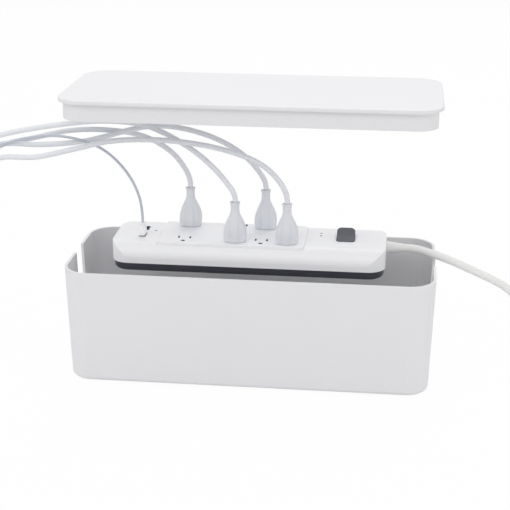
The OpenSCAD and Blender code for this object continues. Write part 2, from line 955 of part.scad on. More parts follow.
// Each route runs from the plug's collar to its coil; points are in millimetres
collar_z = 199.7;
route_1 = [[-77, 30.5, 199.7], [-77, 30.5, 207], [-82, 27, 222], [-97, 22, 243], [-126, 17, 261],
  [-164, 13.5, 268], [-209, 12, 267], [-249, 11.5, 258], [-292, 11.5, 247], [-318, 10.5, 230],
  [-333, 9, 196], [-336, 8, 120], [-338, 6.5, 50], [-348, 5.4, 20], [-366, 5.4, 9.6],
  [-382, 5.4, 9.6]];
route_2 = [[-19, -20.5, 199.7], [-19, -20.5, 207], [-28, -19, 220], [-46, -16, 239],
  [-74, -11, 259], [-118, -7, 279], [-160, -5, 283], [-205, -4, 279], [-290, -4, 262],
  [-332, -4, 244], [-366, -4, 205], [-386, -4, 150], [-402, -4.5, 85], [-418, -5, 36],
  [-434, -5.4, 14], [-450, -5.4, 9.6], [-468, -5.4, 9.6]];
route_3 = [[10, 30.5, 199.7], [10, 30.5, 207], [3, 27, 221], [-16, 22, 243], [-50, 17, 263],
  [-95, 11, 275], [-126, 8, 274], [-191, 5, 257], [-243, 5, 251], [-291, 5, 250],
  [-330, 4.5, 233], [-356, 4.5, 190], [-376, 4.5, 120], [-394, 5, 55], [-420, 5.4, 18],
  [-446, 5.4, 9.6], [-468, 5.4, 9.6]];
route_4 = [[39, -20.5, 199.7], [39, -20.5, 207], [32, -20.5, 222], [12, -21, 242],
  [-26, -22, 257.5], [-90, -22, 267], [-156, -17, 263.5], [-198, -13, 252.5],
  [-246, -11, 240.5], [-288, -10.5, 238], [-314, -9.5, 222], [-328, -8.5, 188],
  [-333, -7.5, 120], [-337, -6, 50], [-348, -5.4, 20], [-366, -5.4, 9.6], [-382, -5.4, 9.6]];
route_usb = [[-126, -8, 167.5], [-126, -8, 174], [-129, -7, 196], [-141, -6, 222],
  [-164, -4, 246], [-190, -2, 258], [-231, -0.5, 263], [-290, -0.5, 249], [-300, -2, 240],
  [-305, -6, 205], [-305, -14, 120], [-303.5, -21, 50], [-303.5, -23, 20],
  [-303.5, -26.6, 9.4], [-303.5, -34, 5], [-303.5, -41.4, 5]];
route_mains = [[169, 18, 140.5], [180, 18, 140.5], [192, 14.6, 138.7], [214, 8.6, 133.7],
  [242, 5, 123.3], [286, -1, 104], [297.6, -5.4, 92.7], [304.4, -11.3, 78.2], [309.5, -17.4, 63.1],
  [314.9, -23.5, 48.2], [322.6, -29.3, 34.1], [334.1, -34, 22.7], [349.4, -36.8, 16],
  [366.3, -37.6, 14.1]];

// A coil of loops that lie in two layers. It starts on its outer loop in the upper layer, spirals
// in, drops to the lower layer along the innermost loop's first half, and spirals out again.
// Each loop is round for half a turn and steps to the next in the other half.
loop_rings = 20;
coil_ix = [2, 1, 0, 1, 2];
function coil_r(k, mid, step) = mid + (coil_ix[k] - 1) * step;
function ease(x) = x * x * (3 - 2 * x);
function coil_line(mid, step, rise, z0, halves) =
  let(h = loop_rings / 2)
  [for (i = [0 : halves * h])
    let(k = floor(i / loop_rings), f = (i - k * loop_rings) / h, turn = 180 * i / h,
      r0 = coil_r(k, mid, step), r1 = k < 4 ? coil_r(k + 1, mid, step) : r0,
      r = f <= 1 ? r0 : r0 + (r1 - r0) * ease(f - 1),
      z = k < 2 ? rise : k > 2 ? 0 : f <= 1 ? rise * (1 - ease(f)) : 0)
      [-r * sin(turn), r * cos(turn), z0 + z]];

// Least distance between stretches of one coil that aren't neighbours, less the diameter
function self_gap(p, d, apart) =
  min([for (i = [0 : len(p) - 1 - apart])
    for (j = [i + apart : len(p) - 1])
      norm(p[i] - p[j])]) - d;

module coil(c, mid, d, gap, halves, turn_y, tail) {
  step = d + gap;
  line = coil_line(mid, step, step, d / 2, halves);
  n = len(line);
  first = line[0] + [d * 1.2, 0, 0];
  out = unit(line[n - 1] - line[n - 2]);
  flat = [sign(out[0]), 0, 0];
  last = line[n - 1] + tail * flat;
  whole = [for (q = concat([first], line, [last])) [c[0] + q[0], c[1] + turn_y * q[1], q[2]]];
  echo(str("coil self gap ", self_gap(line, d, 10)));
  tube(whole, d / 2, 6, [0, 0, 1]);
}

module cord_1() {
  color([0.85, 0.86, 0.88])
  tube(route_1, cord_dia / 2, 8, [0, 1, 0]);
}
module cord_2() {
  color([0.85, 0.86, 0.88])
  tube(route_2, cord_dia / 2, 8, [0, 1, 0]);
}
module cord_3() {
  color([0.85, 0.86, 0.88])
  tube(route_3, cord_dia / 2, 8, [0, 1, 0]);
}
module cord_4() {
  color([0.85, 0.86, 0.88])
  tube(route_4, cord_dia / 2, 8, [0, 1, 0]);
}
module usb_cord() {
  color([0.85, 0.86, 0.88])
  tube(route_usb, usb_dia / 2, 8, [1, 1, 0]);
}
module mains_cord() {
  color([0.88, 0.88, 0.88])
  tube(route_mains, mains_dia / 2, 8, [0, 1, 0]);
}

module cord_1_coil() {
  color([0.85, 0.86, 0.88])
  coil([-389.2, 43, 0], 31, 6, 0.6, 9, -1, 20);
}
module cord_2_coil() {
  color([0.85, 0.86, 0.88])
  coil([-475.2, -43, 0], 31, 6, 0.6, 9, 1, 20);
}
module cord_3_coil() {
  color([0.85, 0.86, 0.88])
  coil([-475.2, 43, 0], 31, 6, 0.6, 9, -1, 20);
}
module cord_4_coil() {
  color([0.85, 0.86, 0.88])
  coil([-389.2, -43, 0], 31, 6, 0.6, 9, 1, 20);
}
module usb_coil() {
  color([0.85, 0.86, 0.88])
  translate([-324, -45, 0])
    rotate([0, 0, 90])
      coil([0, 0, 0], 17, 3, 0.5, 9, -1, 17);
}

module mains_coil() {
  color([0.88, 0.88, 0.88])
  rotate([0, 0, 180])
    coil([-377.8, -22, 0], 50, 9, 0.6, 8, 1, 48);
}

// A small appliance connector that lies on the floor, mouth towards +X
module connector(x, y) {
  difference() {
    union() {
      translate([x + 8, y, 0])
        linear_extrude(height = 10)
          translate([10, 0])
            round_rect(20, 16, 3);
      translate([x, y - 5, 0])
        cube([12, 10, 7.4]);
    }
    for (s = [-4, 0, 4])
      translate([x + 18, y + s, s == 0 ? 6.8 : 4])
        rotate([0, 90, 0])
          cylinder(d = 2.2, h = 20, $fn = 24);
  }
}

module cord_1_connector() {
  color([0.3, 0.3, 0.32])
  connector(-369.2, 80.6);
}
module cord_2_connector() {
  color([0.3, 0.3, 0.32])
  connector(-455.2, -80.6);
}
module cord_3_connector() {
  color([0.3, 0.3, 0.32])
  connector(-455.2, 80.6);
}
module cord_4_connector() {
  color([0.3, 0.3, 0.32])
  connector(-369.2, -80.6);
}

module usb_cord_end() {
  color([0.9, 0.9, 0.92])
  translate([-344.5, -28, 0])
    union() {
      translate([0, 8, 0])
        linear_extrude(height = 6)
          round_rect(10, 16, 2);
      translate([-3.4, 15, 1.9])
        cube([6.8, 5.6, 1.8]);
    }
}

module wall_plug_body() {
  x = 377.8 + 48;
  color([0.88, 0.88, 0.88])
  union() {
    translate([x, -37.6, 0])
      translate([17, 0, 0])
        linear_extrude(height = 25)
          round_rect(34, 27, 5);
  }
}

module wall_plug_pins() {
  x = 377.8 + 48 + 34;
  color([0.82, 0.7, 0.42])
  union() {
    for (s = [-1, 1])
      translate([x, -37.6 + s * blade_gap / 2 - blade_thick / 2, 15.5])
        cube([blade_long, blade_thick, blade_wide]);
    translate([x, -37.6, 6.7])
      rotate([0, 90, 0])
        cylinder(d = earth_dia, h = earth_long);
  }
}

box_shell();
box_feet();
lid();
strip_cover();
strip_base();
outlet_panel();
live_bar();
neutral_bar();
earth_bar();
internal_leads();
surge_board();
surge_varistors();
indicator_lights();
usb_board();
usb_transformer();
usb_capacitors();
usb_sockets();
usb_tongues();
switch_housing();
switch_rocker();
switch_contact();
switch_terminals();
mains_relief();
case_screws();
plug_1_body();
plug_1_pins();
plug_2_body();
plug_2_pins();
plug_3_body();
plug_3_pins();
plug_4_body();
plug_4_pins();
usb_plug_grip();
usb_plug_shell();
usb_plug_insert();
cord_1();
cord_1_coil();
cord_1_connector();
cord_2();
cord_2_coil();
cord_2_connector();
cord_3();
cord_3_coil();
cord_3_connector();
cord_4();
cord_4_coil();
cord_4_connector();
usb_cord();
usb_coil();
usb_cord_end();
mains_cord();
mains_coil();
wall_plug_body();
wall_plug_pins();
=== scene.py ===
"""Looks of the cable management box: the CAD frame with finished plastics, the moulded plugs, the
cords with their coils and ties, a pale studio floor and the photograph's camera. The scene is in
metres. The cord routes, coils, ties, plugs and edge roundings are written in millimetres."""

import math
from collections import namedtuple

import bpy
import numpy as np
from mathutils import Matrix, Vector


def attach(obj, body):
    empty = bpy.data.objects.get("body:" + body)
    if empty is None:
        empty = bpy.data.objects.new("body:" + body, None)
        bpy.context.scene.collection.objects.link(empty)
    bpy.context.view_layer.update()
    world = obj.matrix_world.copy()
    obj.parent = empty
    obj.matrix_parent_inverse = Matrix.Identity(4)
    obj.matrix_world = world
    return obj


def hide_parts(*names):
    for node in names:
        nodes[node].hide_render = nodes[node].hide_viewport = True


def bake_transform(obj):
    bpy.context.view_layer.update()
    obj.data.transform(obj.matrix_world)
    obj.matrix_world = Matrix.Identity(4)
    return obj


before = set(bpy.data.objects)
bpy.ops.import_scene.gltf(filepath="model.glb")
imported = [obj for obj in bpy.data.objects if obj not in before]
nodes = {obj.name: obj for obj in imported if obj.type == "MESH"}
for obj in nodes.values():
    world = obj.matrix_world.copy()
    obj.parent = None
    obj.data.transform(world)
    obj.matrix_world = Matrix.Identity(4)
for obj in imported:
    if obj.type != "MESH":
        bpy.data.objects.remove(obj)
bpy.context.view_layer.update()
MM = 0.001


# ---------- camera ----------

# focal length, place, and degrees turned to the right, tipped down and rolled
FOCAL_LENGTH = 91.72
CAMERA_PLACE = (0.157825, -1.385672, 0.617083)
CAMERA_TURN = (-6.4533, 19.2172, 0.1791)


def place_camera():
    """The photograph's camera, fitted to the rims of the box and the lid."""
    data = bpy.data.cameras.new("product_camera")
    data.sensor_width = 36.0
    data.lens = FOCAL_LENGTH
    camera = bpy.data.objects.new("product_camera", data)
    bpy.context.scene.collection.objects.link(camera)
    yaw, pitch, roll = (math.radians(a) for a in CAMERA_TURN)
    ahead = Vector((math.sin(yaw) * math.cos(pitch), math.cos(yaw) * math.cos(pitch),
                    -math.sin(pitch)))
    side = ahead.cross(Vector((0, 0, 1))).normalized()
    top = side.cross(ahead)
    right = side * math.cos(roll) + top * math.sin(roll)
    top = top * math.cos(roll) - side * math.sin(roll)
    turn = Matrix((right, top, -ahead)).transposed().to_4x4()
    camera.matrix_world = Matrix.Translation(CAMERA_PLACE) @ turn
    data.clip_start, data.clip_end = 0.05, 60
    bpy.context.scene.camera = camera


# ---------- shapes shared by several pieces ----------

def new_piece(name, verts, faces, smooth=True):
    mesh = bpy.data.meshes.new(name)
    mesh.from_pydata([tuple(v) for v in verts], [], [tuple(f) for f in faces])
    mesh.validate()
    mesh.update()
    if smooth:
        mesh.polygons.foreach_set("use_smooth", [True] * len(mesh.polygons))
    piece = bpy.data.objects.new(name, mesh)
    bpy.context.scene.collection.objects.link(piece)
    return piece


def ring_faces(rings, around, base=0):
    """The faces between rings of points, and one that closes each end."""
    faces = []
    for i in range(rings - 1):
        for k in range(around):
            a, b = base + i * around + k, base + i * around + (k + 1) % around
            faces.append((a, b, b + around, a + around))
    faces.append(tuple(base + k for k in range(around))[::-1])
    faces.append(tuple(base + (rings - 1) * around + k for k in range(around)))
    return faces


def ease(x):
    return x * x * (3 - 2 * x)


def limit(x):
    return min(max(x, 0), 1)


def smooth_line(points, step):
    """A centripetal spline through the points, sampled every step."""
    p = np.array(points, float)
    q = np.vstack([2 * p[0] - p[1], p, 2 * p[-1] - p[-2]])
    out = []
    for i in range(1, len(q) - 2):
        a, b, c, d = q[i - 1:i + 3]
        t0 = 0.0
        t1 = t0 + np.linalg.norm(b - a) ** 0.5
        t2 = t1 + np.linalg.norm(c - b) ** 0.5
        t3 = t2 + np.linalg.norm(d - c) ** 0.5
        # finer than the step, for the even sampling at the end
        n = max(3, int(np.linalg.norm(c - b) / (step * 0.4)))
        for t in np.linspace(t1, t2, n, endpoint=False):
            a1 = (t1 - t) / (t1 - t0) * a + (t - t0) / (t1 - t0) * b
            a2 = (t2 - t) / (t2 - t1) * b + (t - t1) / (t2 - t1) * c
            a3 = (t3 - t) / (t3 - t2) * c + (t - t2) / (t3 - t2) * d
            b1 = (t2 - t) / (t2 - t0) * a1 + (t - t0) / (t2 - t0) * a2
            b2 = (t3 - t) / (t3 - t1) * a2 + (t - t1) / (t3 - t1) * a3
            out.append((t2 - t) / (t2 - t1) * b1 + (t - t1) / (t2 - t1) * b2)
    out.append(p[-1])
    out = np.array(out)
    s = np.r_[0, np.cumsum(np.linalg.norm(np.diff(out, axis=0), axis=1))]
    u = np.linspace(0, s[-1], int(round(s[-1] / step)) + 1)
    return np.stack([np.interp(u, s, out[:, k]) for k in range(3)], 1)


def even_out(line, times):
    """Takes the last unevenness of bend out of a line and keeps its two ends."""
    line = line.copy()
    for _ in range(times):
        line[2:-2] = 0.25 * line[1:-3] + 0.5 * line[2:-2] + 0.25 * line[3:-1]
    return line


def tube_mesh(line, radius, sides):
    """A tube with closed ends, of rings square to the line that don't twist about it."""
    way = np.gradient(line, axis=0)
    way /= np.linalg.norm(way, axis=1)[:, None]
    across = np.cross(way[0], [0.3, 1, 0.1])
    across /= np.linalg.norm(across)
    turn = np.arange(sides) * 2 * math.pi / sides
    verts = []
    for point, ahead in zip(line, way):
        across = across - ahead * (across @ ahead)
        across /= np.linalg.norm(across)
        other = np.cross(ahead, across)
        out = np.cos(turn)[:, None] * across + np.sin(turn)[:, None] * other
        verts.append(point + radius * out)
    return np.vstack(verts), ring_faces(len(line), sides)


# ---------- cords ----------

# the stretch of each cord from its exit to its coil, as in part.scad
ROUTES = {
    "cord_1": [[-77, 30.5, 199.7], [-77, 30.5, 207], [-82, 27, 222], [-97, 22, 243],
               [-126, 17, 261], [-164, 13.5, 268], [-209, 12, 267], [-249, 11.5, 258],
               [-292, 11.5, 247], [-318, 10.5, 230], [-333, 9, 196], [-336, 8, 120],
               [-338, 6.5, 50], [-348, 5.4, 20], [-366, 5.4, 9.6], [-382, 5.4, 9.6]],
    "cord_2": [[-19, -20.5, 199.7], [-19, -20.5, 207], [-28, -19, 220], [-46, -16, 239],
               [-74, -11, 259], [-118, -7, 279], [-160, -5, 283], [-205, -4, 279],
               [-290, -4, 262], [-332, -4, 244], [-366, -4, 205], [-386, -4, 150],
               [-402, -4.5, 85], [-418, -5, 36], [-434, -5.4, 14], [-450, -5.4, 9.6],
               [-468, -5.4, 9.6]],
    "cord_3": [[10, 30.5, 199.7], [10, 30.5, 207], [3, 27, 221], [-16, 22, 243],
               [-50, 17, 263], [-95, 11, 275], [-126, 8, 274], [-191, 5, 257],
               [-243, 5, 251], [-291, 5, 250], [-330, 4.5, 233], [-356, 4.5, 190],
               [-376, 4.5, 120], [-394, 5, 55], [-420, 5.4, 18], [-446, 5.4, 9.6],
               [-468, 5.4, 9.6]],
    "cord_4": [[39, -20.5, 199.7], [39, -20.5, 207], [32, -20.5, 222], [12, -21, 242],
               [-26, -22, 257.5], [-90, -22, 267], [-156, -17, 263.5], [-198, -13, 252.5],
               [-246, -11, 240.5], [-288, -10.5, 238], [-314, -9.5, 222], [-328, -8.5, 188],
               [-333, -7.5, 120], [-337, -6, 50], [-348, -5.4, 20], [-366, -5.4, 9.6],
               [-382, -5.4, 9.6]],
    "usb": [[-126, -8, 167.5], [-126, -8, 174], [-129, -7, 196], [-141, -6, 222],
            [-164, -4, 246], [-190, -2, 258], [-231, -0.5, 263], [-290, -0.5, 249],
            [-300, -2, 240], [-305, -6, 205], [-305, -14, 120], [-303.5, -21, 50],
            [-303.5, -23, 20], [-303.5, -26.6, 9.4], [-303.5, -34, 5], [-303.5, -41.4, 5]],
    "mains": [[169, 18, 140.5], [180, 18, 140.5], [192, 14.6, 138.7], [214, 8.6, 133.7],
              [242, 5, 123.3], [286, -1, 104], [297.6, -5.4, 92.7], [304.4, -11.3, 78.2],
              [309.5, -17.4, 63.1], [314.9, -23.5, 48.2], [322.6, -29.3, 34.1],
              [334.1, -34, 22.7], [349.4, -36.8, 16], [366.3, -37.6, 14.1]],
}

# radius at the middle of the turns, cord diameter, gap between turns, half turns, the way it
# winds, straight tail, centre, and turn about Z in degrees, as in part.scad
Coil = namedtuple("Coil", "mid diameter gap halves winds tail centre spin")
COILS = {
    "cord_1": Coil(31, 6, 0.6, 9, -1, 20, (-389.2, 43), 0),
    "cord_2": Coil(31, 6, 0.6, 9, 1, 20, (-475.2, -43), 0),
    "cord_3": Coil(31, 6, 0.6, 9, -1, 20, (-475.2, 43), 0),
    "cord_4": Coil(31, 6, 0.6, 9, 1, 20, (-389.2, -43), 0),
    "usb": Coil(17, 3, 0.5, 9, -1, 17, (-324, -45), 90),
    "mains": Coil(50, 9, 0.6, 8, 1, 48, (377.8, 22), 180),
}
# points on one turn, and how many steps out from the innermost turn each turn starts
TURN_POINTS = 20
TURN_STEPS = [2, 1, 0, 1, 2]

# the CAD pieces that the finished cord stands for
SOLIDS = {
    "cord_1": ["cord_1", "cord_1_coil"],
    "cord_2": ["cord_2", "cord_2_coil"],
    "cord_3": ["cord_3", "cord_3_coil"],
    "cord_4": ["cord_4", "cord_4_coil"],
    "usb": ["usb_cord", "usb_coil"],
    "mains": ["mains_cord", "mains_coil"],
}

TIE_THICK, TIE_WIDEST = 0.9, 10.0
# room between the turns and the tie, at the sides and on top, and its least height
TIE_SIDE_ROOM, TIE_TOP_ROOM, TIE_LOWEST = 0.5, 0.6, 0.05
# degrees round the coil to the tie, by the way the coil winds
TIE_AT = {-1: 235, 1: 125}
# half of the strap's section, from its inner face out: share of the thickness, and how far in
# from the strap's edge
TIE_SECTION = ((0, 0.0), (0.75, 0.0), (1, 0.4))


def coil_points(coil):
    """Turns in two layers that spiral in on top and out again below, and a straight tail."""
    step = coil.diameter + coil.gap
    half = TURN_POINTS / 2
    points = []
    for i in range(int(coil.halves * half) + 1):
        k = int(i // TURN_POINTS)
        f = (i - k * TURN_POINTS) / half
        turn = math.pi * i / half
        r0 = coil.mid + (TURN_STEPS[k] - 1) * step
        r1 = coil.mid + (TURN_STEPS[k + 1] - 1) * step if k < 4 else r0
        r = r0 if f <= 1 else r0 + (r1 - r0) * ease(f - 1)
        # it comes down to the lower layer in the first half of the third turn
        rise = step if k < 2 else 0 if k > 2 else step * (1 - ease(f)) if f <= 1 else 0
        points.append([-r * math.sin(turn), coil.winds * r * math.cos(turn),
                       coil.diameter / 2 + rise])
    sign = 1 if points[-1][0] > points[-2][0] else -1
    points.append([points[-1][0] + sign * coil.tail, points[-1][1], points[-1][2]])
    return np.array(points)


def coil_on_floor(coil):
    c, s = math.cos(math.radians(coil.spin)), math.sin(math.radians(coil.spin))
    turned = coil_points(coil) @ np.array([[c, s, 0], [-s, c, 0], [0, 0, 1]])
    return turned + np.array([*coil.centre, 0.0])


def coil_tie(name):
    """A flat strap round the coil's turns, with its end pressed down on the outside."""
    coil = COILS[name]
    step = coil.diameter + coil.gap
    half_r = step + coil.diameter / 2 + TIE_SIDE_ROOM
    high = step + coil.diameter + TIE_TOP_ROOM
    wide = min(TIE_WIDEST, coil.diameter * 1.5)
    corner = coil.diameter * 0.45
    outline = []
    for cx, cz, a0 in ((half_r - corner, high - corner, 0), (-half_r + corner, high - corner, 90),
                       (-half_r + corner, corner, 180), (half_r - corner, corner, 270)):
        for k in range(7):
            a = math.radians(a0 + 15 * k)
            outline.append((cx + corner * math.cos(a), cz + corner * math.sin(a)))
    # one more flap on the outside, so that the strap laps over itself
    flap = outline[:10]
    section = ([(out, -wide / 2 + inset) for out, inset in TIE_SECTION]
               + [(out, wide / 2 - inset) for out, inset in TIE_SECTION[::-1]])
    ring = len(section)
    at, spin = math.radians(TIE_AT[coil.winds]), math.radians(coil.spin)
    verts, faces = [], []

    def put(r, along, z):
        """A point so far out from the middle of the turns, along them and up."""
        x, y = coil.mid + r, along
        px, py = x * math.cos(at) - y * math.sin(at), x * math.sin(at) + y * math.cos(at)
        wx = px * math.cos(spin) - py * math.sin(spin) + coil.centre[0]
        wy = px * math.sin(spin) + py * math.cos(spin) + coil.centre[1]
        return (wx * MM, wy * MM, max(z, TIE_LOWEST) * MM)

    def band(points, closed, lift):
        n = len(points)
        base = len(verts)
        for i, (r, z) in enumerate(points):
            ax, az = points[(i - 1) % n] if closed or i else points[0]
            bx, bz = points[(i + 1) % n] if closed or i < n - 1 else points[-1]
            length = math.hypot(bx - ax, bz - az) or 1
            nx, nz = (bz - az) / length, -(bx - ax) / length
            for out, along in section:
                off = lift + TIE_THICK * out
                verts.append(put(r + nx * off, along, z + nz * off))
        for i in range(n if closed else n - 1):
            a, b = base + i * ring, base + ((i + 1) % n) * ring
            for k in range(ring):
                faces.append((a + k, a + (k + 1) % ring, b + (k + 1) % ring, b + k))
        if not closed:
            faces.append(tuple(base + k for k in range(ring)))
            faces.append(tuple(base + (n - 1) * ring + k for k in range(ring))[::-1])

    band(outline, True, 0.0)
    band(flap, False, TIE_THICK)
    return new_piece(f"{name}_tie", verts, faces, smooth=False)


def make_cord(name):
    coil = COILS[name]
    route = np.array(ROUTES[name], float)
    diameter = coil.diameter
    # rings about a third of the cord's thickness apart, but no closer than 1.6 mm
    step = max(1.6, diameter * 0.36)
    control = np.vstack([route, coil_on_floor(coil)])
    line = even_out(smooth_line(control, step), times=8) * MM
    verts, faces = tube_mesh(line, diameter / 2 * MM, 14 if diameter > 4 else 10)
    piece = new_piece(f"{name}_flex", verts, faces)
    # the flat ends keep their own shading, so that the jacket beside them isn't darkened
    piece.data.set_sharp_from_angle(angle=math.radians(60))
    tie = coil_tie(name)
    if name == "mains":
        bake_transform(piece)
    else:
        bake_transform(piece)
    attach(tie, "box")
    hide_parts(*SOLIDS[name])
    return piece, tie


place_camera()
cords = {name: make_cord(name) for name in ROUTES}


# ---------- plugs ----------

PLUG_SEAT = 154.7
PLUGS = {1: (-77.0, 30.0), 2: (-19.0, -21.0), 3: (10.0, 30.0), 4: (39.0, -21.0)}
# the body's half width by height above its face, as in part.scad
OUTLINE = [(0, 11.3), (1, 11.7), (3, 12.1), (6, 12.5), (9, 12.6), (12, 12.4), (15, 11.9),
           (18, 11.1), (21, 10.1), (24, 8.9), (27, 7.5), (30, 6.1), (32, 5.3), (34, 4.95),
           (36, 4.8)]
# where a ring's points lie across the front, closer together at the rib's two edges, and how
# many go round the rest of it
ACROSS = [0, 1.3, 2.6, 3.5, 3.8, 3.88, 3.96, 4.04, 4.12, 4.2, 4.6]
FRONT = np.array([-x for x in ACROSS[:0:-1]] + ACROSS)
BACK_POINTS = 90
# the rib down the front: half width at its foot, width of its side, and how far it stands out
# on the body and on the neck
RIB_FOOT, RIB_SIDE, BODY_RIB, NECK_RIB = 4.16, 0.32, 1.45, 0.435
# how far the lowest rings draw in at the edge of the face, and how much rib they leave off
FACE_TUCK = (0.6, 0.22, 0.05)
FACE_RIB_LESS = (0.5, 0.12)
NECK_RADIUS = 4.8
# the collar, height and radius: a short flange with its edges rounded, then a dish round the cord
COLLAR = ((42.8, 4.9), (43.0, 5.1), (44.6, 5.15), (44.9, 5.0), (45.0, 4.8), (45.0, 4.1),
          (44.7, 3.75), (43.8, 3.6), (43.7, 2.6))
# how square a ring is: on the body, where the body ends, on the neck, and a plain circle
BODY_POWER, BODY_END_POWER, NECK_POWER, CIRCLE = 4.4, 2.1, 2.05, 2.0
# the two lugs, rounded blocks that stand out of the collar at its sides: how far out they sit,
# half sizes, points round, and for each ring its height and how much wider than that it is
LUG_OUT, LUG_HALF_X, LUG_HALF_Y, LUG_SIDES = 4.2, 1.4, 1.6, 20
LUG_RINGS = ((42.5, -0.5), (42.7, -0.12), (42.9, 0), (44.6, 0), (44.9, -0.12), (45.0, -0.4))


def squared(turn):
    """A sine or cosine pushed out, which makes a circle squarer."""
    return math.copysign(abs(turn) ** 0.6, turn)


def make_plug(number):
    """The moulded body as one skin: a squared bell with a raised rib down its front, a round
    neck, and a collar with a lug at each side."""
    cx, row = PLUGS[number]
    cy = row + 0.5
    around, verts = len(FRONT) + BACK_POINTS, []

    def ring(z, half_x, half_y, power, rib):
        """One ring of the skin. A higher power makes it squarer."""
        fit = min(1.0, 0.8 * half_x / ACROSS[-1])
        front_x = FRONT * fit
        front_y = -half_y * (1 - np.abs(front_x / half_x) ** power) ** (1 / power)
        start = math.atan2(front_y[-1], front_x[-1])
        end = math.atan2(front_y[0], front_x[0]) + 2 * math.pi
        turn = np.linspace(start, end, BACK_POINTS + 2)[1:-1]
        reach = (np.abs(np.cos(turn) / half_x) ** power
                 + np.abs(np.sin(turn) / half_y) ** power) ** (-1 / power)
        edge = np.clip((RIB_FOOT - np.abs(FRONT)) / RIB_SIDE, 0, 1)
        front_y = front_y - rib * edge * edge * (3 - 2 * edge)
        x = np.r_[front_x, reach * np.cos(turn)]
        y = np.r_[front_y, reach * np.sin(turn)]
        verts.append(np.stack([cx + x, cy + y, np.full(around, PLUG_SEAT + z)], 1))

    rise = [h for h, _ in OUTLINE]
    half = [w for _, w in OUTLINE]
    heights = [0.0, 0.2, 0.5, 1.0] + list(np.linspace(1.8, 36.0, 46))
    widths = np.interp(heights, rise, half)
    for _ in range(3):
        widths[4:-1] = 0.25 * widths[3:-2] + 0.5 * widths[4:-1] + 0.25 * widths[5:]
    for i, (z, wide) in enumerate(zip(heights, widths)):
        tuck = FACE_TUCK[i] if i < len(FACE_TUCK) else 0
        less = FACE_RIB_LESS[i] if i < len(FACE_RIB_LESS) else 0
        # 0 on the squared body, 1 on the round neck
        blend = ease(limit((z - 10.0) / 22.0))
        # depth as a share of width, which comes up to the full circle of the neck
        deep = 0.81 + 0.19 * ease(limit((z - 20.0) / 14.0))
        ring(z, wide - tuck, wide * deep - tuck,
             BODY_POWER * (1 - blend) + BODY_END_POWER * blend,
             (BODY_RIB - less) * (1 - 0.7 * blend))
    for z in np.linspace(37.0, 42.7, 6):
        ring(z, NECK_RADIUS, NECK_RADIUS, NECK_POWER, NECK_RIB)
    for z, r in COLLAR:
        ring(z, r, r, CIRCLE, 0)
    faces = ring_faces(len(verts), around)
    points = list(np.vstack(verts))
    for side in (-1, 1):
        faces += ring_faces(len(LUG_RINGS), LUG_SIDES, base=len(points))
        for z, grow in LUG_RINGS:
            for k in range(LUG_SIDES):
                a = 2 * math.pi * k / LUG_SIDES
                sx = squared(math.cos(a)) * (LUG_HALF_X + grow)
                sy = squared(math.sin(a)) * (LUG_HALF_Y + grow)
                points.append((cx + side * LUG_OUT + sx, cy + sy, PLUG_SEAT + z))
    piece = new_piece(f"plug_{number}_moulding", np.array(points) * MM, faces)
    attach(piece, f"plug_{number}")
    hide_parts(f"plug_{number}_body")
    return piece


plugs = {number: make_plug(number) for number in PLUGS}


# ---------- materials ----------

def math_node(tree, operation, *values):
    """A math node. The values go into its second input and the ones after it."""
    node = tree.nodes.new("ShaderNodeMath")
    node.operation = operation
    for place, value in enumerate(values, 1):
        node.inputs[place].default_value = value
    return node


def scale_node(tree):
    node = tree.nodes.new("ShaderNodeVectorMath")
    node.operation = "SCALE"
    return node


def grain_group():
    """Shared finish of a moulded surface: fine grain in bump and gloss, and a faint drift of
    tone."""
    group = bpy.data.node_groups.new("moulded_grain", "ShaderNodeTree")
    face = group.interface
    for name, kind, value in (("Tone", "NodeSocketColor", (0.8, 0.8, 0.8, 1)),
                              ("Gloss", "NodeSocketFloat", 0.5),
                              ("Grain", "NodeSocketFloat", 2600.0),
                              ("Depth", "NodeSocketFloat", 0.00001),
                              ("Drift", "NodeSocketFloat", 0.02)):
        face.new_socket(name, in_out="INPUT", socket_type=kind).default_value = value
    for name, kind in (("Base Color", "NodeSocketColor"), ("Roughness", "NodeSocketFloat"),
                       ("Normal", "NodeSocketVector")):
        face.new_socket(name, in_out="OUTPUT", socket_type=kind)
    make, link = group.nodes.new, group.links.new
    given, out = make("NodeGroupInput"), make("NodeGroupOutput")
    place = make("ShaderNodeTexCoord")
    fine = make("ShaderNodeTexNoise")
    fine.inputs["Detail"].default_value = 2.0
    link(place.outputs["Object"], fine.inputs["Vector"])
    link(given.outputs["Grain"], fine.inputs["Scale"])
    broad = make("ShaderNodeTexNoise")
    broad.inputs["Scale"].default_value = 14.0
    broad.inputs["Detail"].default_value = 3.0
    link(place.outputs["Object"], broad.inputs["Vector"])
    # tone times 1 + drift * (noise - 0.5) * 2
    spread = math_node(group, "SUBTRACT", 0.5)
    link(broad.outputs["Fac"], spread.inputs[0])
    scaled = math_node(group, "MULTIPLY")
    link(spread.outputs[0], scaled.inputs[0])
    link(given.outputs["Drift"], scaled.inputs[1])
    about = math_node(group, "MULTIPLY_ADD", 2.0, 1.0)
    link(scaled.outputs[0], about.inputs[0])
    tint = scale_node(group)
    link(given.outputs["Tone"], tint.inputs[0])
    link(about.outputs[0], tint.inputs["Scale"])
    link(tint.outputs[0], out.inputs["Base Color"])
    rough = math_node(group, "MULTIPLY_ADD", 0.12)
    link(fine.outputs["Fac"], rough.inputs[0])
    link(given.outputs["Gloss"], rough.inputs[2])
    link(rough.outputs[0], out.inputs["Roughness"])
    bump = make("ShaderNodeBump")
    bump.inputs["Strength"].default_value = 1.0
    link(given.outputs["Depth"], bump.inputs["Distance"])
    link(fine.outputs["Fac"], bump.inputs["Height"])
    link(bump.outputs["Normal"], out.inputs["Normal"])
    return group


GRAIN = grain_group()


